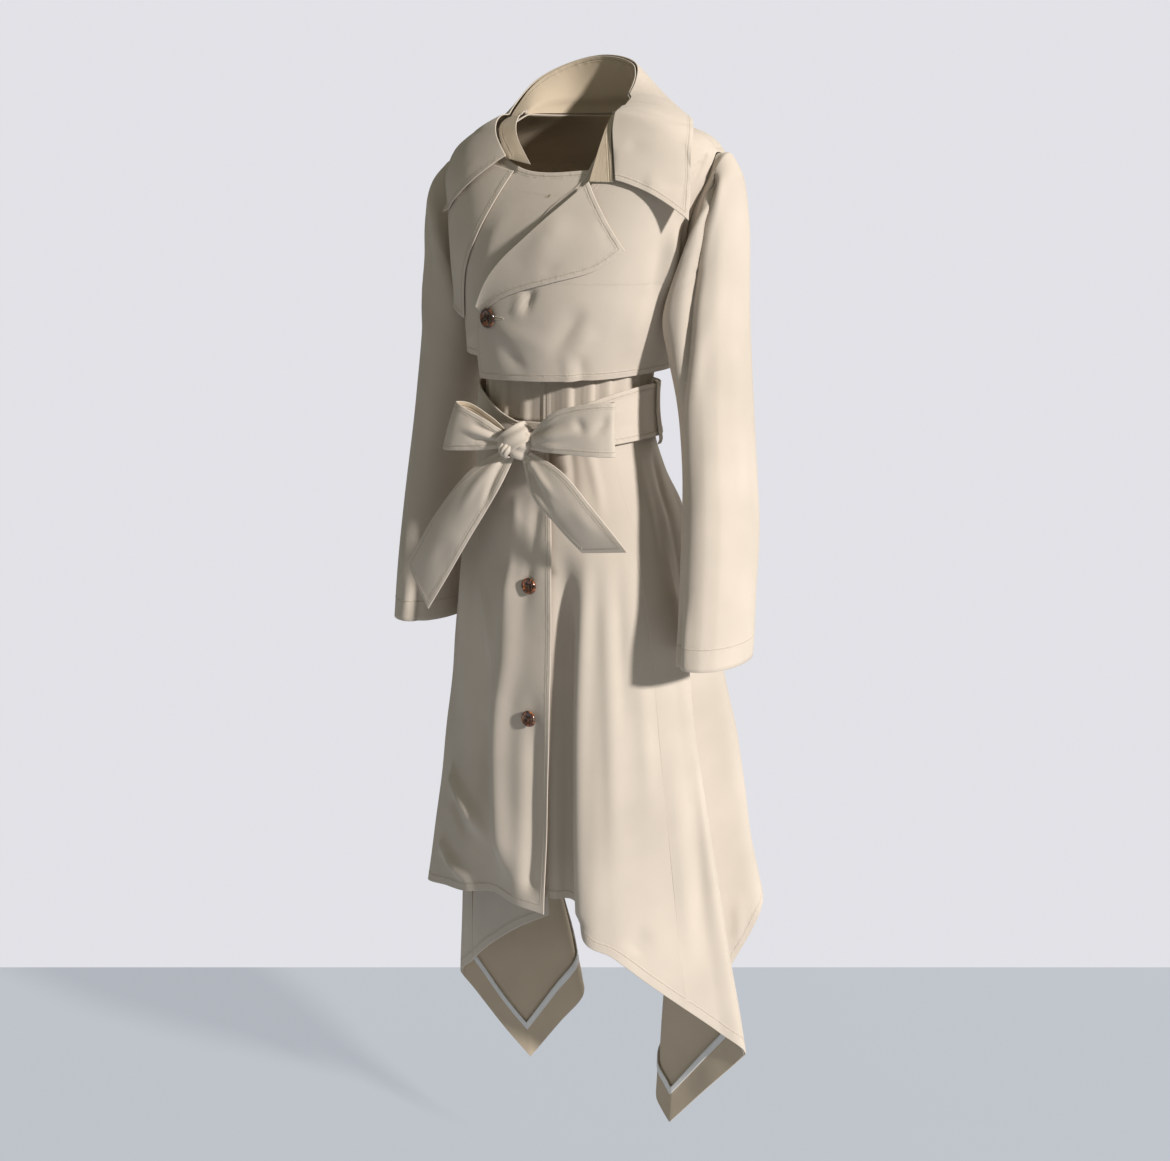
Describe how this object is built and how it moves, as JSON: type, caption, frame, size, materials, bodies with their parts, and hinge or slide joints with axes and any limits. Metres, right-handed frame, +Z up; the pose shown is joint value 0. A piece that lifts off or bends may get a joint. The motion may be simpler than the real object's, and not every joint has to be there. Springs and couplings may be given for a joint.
{
  "type": "trench coat",
  "caption": "Deconstructed belted trench coat with a cropped jacket layer, big collar, gathered waist, tied bow and a skirt with handkerchief corners.",
  "frame": {"origin": "between the shoulder tips, at the height of the shoulder line, where the wearer carries the coat", "axes": "+Z up along the body, -Y to the front, +X to the wearer's left"},
  "size_m": [0.4888, 0.3464, 1.3659],
  "materials": {
    "belt_band": "smooth beige cotton twill",
    "belt_carrier_left": "smooth beige cotton twill",
    "belt_carrier_right": "smooth beige cotton twill",
    "belt_knot": "smooth beige cotton twill",
    "bodice_back": "smooth beige cotton twill",
    "bodice_front": "smooth beige cotton twill",
    "bow_loop_left": "smooth beige cotton twill",
    "bow_loop_right": "smooth beige cotton twill",
    "bow_tail_left": "smooth beige cotton twill",
    "bow_tail_right": "smooth beige cotton twill",
    "button_jacket": "polished tortoiseshell button",
    "button_skirt_lower": "polished tortoiseshell button",
    "button_skirt_upper": "polished tortoiseshell button",
    "collar_leaf": "smooth beige cotton twill",
    "collar_stand": "smooth beige cotton twill",
    "hem_facing_left": "smooth beige cotton twill",
    "hem_facing_right": "smooth beige cotton twill",
    "hem_tape_left": "white woven binding tape",
    "hem_tape_right": "white woven binding tape",
    "jacket_back": "smooth beige cotton twill",
    "jacket_front_left": "smooth beige cotton twill",
    "jacket_front_right": "smooth beige cotton twill",
    "lapel_left": "smooth beige cotton twill",
    "neck_facing_left": "smooth beige cotton twill",
    "skirt_back": "smooth beige cotton twill",
    "skirt_front_left": "smooth beige cotton twill",
    "skirt_front_right": "smooth beige cotton twill",
    "skirt_overlay_right": "smooth beige cotton twill",
    "skirt_side_left": "smooth beige cotton twill",
    "skirt_side_right": "smooth beige cotton twill",
    "sleeve_left": "smooth beige cotton twill",
    "sleeve_right": "smooth beige cotton twill",
    "storm_flap_right": "smooth beige cotton twill"
  },
  "bodies": {
    "root": {"belt_band": "belt_band", "belt_carrier_left": "belt_carrier_left", "belt_carrier_right": "belt_carrier_right", "belt_knot": "belt_knot", "bodice_back": "bodice_back", "bodice_front": "bodice_front", "bow_loop_left": "bow_loop_left", "bow_loop_right": "bow_loop_right", "bow_tail_left": "bow_tail_left", "bow_tail_right": "bow_tail_right", "button_jacket": "button_jacket", "button_skirt_lower": "button_skirt_lower", "button_skirt_upper": "button_skirt_upper", "collar_leaf": "collar_leaf", "collar_stand": "collar_stand", "hem_facing_left": "hem_facing_left", "hem_facing_right": "hem_facing_right", "hem_tape_left": "hem_tape_left", "hem_tape_right": "hem_tape_right", "jacket_back": "jacket_back", "jacket_front_left": "jacket_front_left", "jacket_front_right": "jacket_front_right", "lapel_left": "lapel_left", "neck_facing_left": "neck_facing_left", "skirt_back": "skirt_back", "skirt_front_left": "skirt_front_left", "skirt_front_right": "skirt_front_right", "skirt_overlay_right": "skirt_overlay_right", "skirt_side_left": "skirt_side_left", "skirt_side_right": "skirt_side_right", "sleeve_left": "sleeve_left", "sleeve_right": "sleeve_right", "storm_flap_right": "storm_flap_right"}
  },
  "joints": []
}
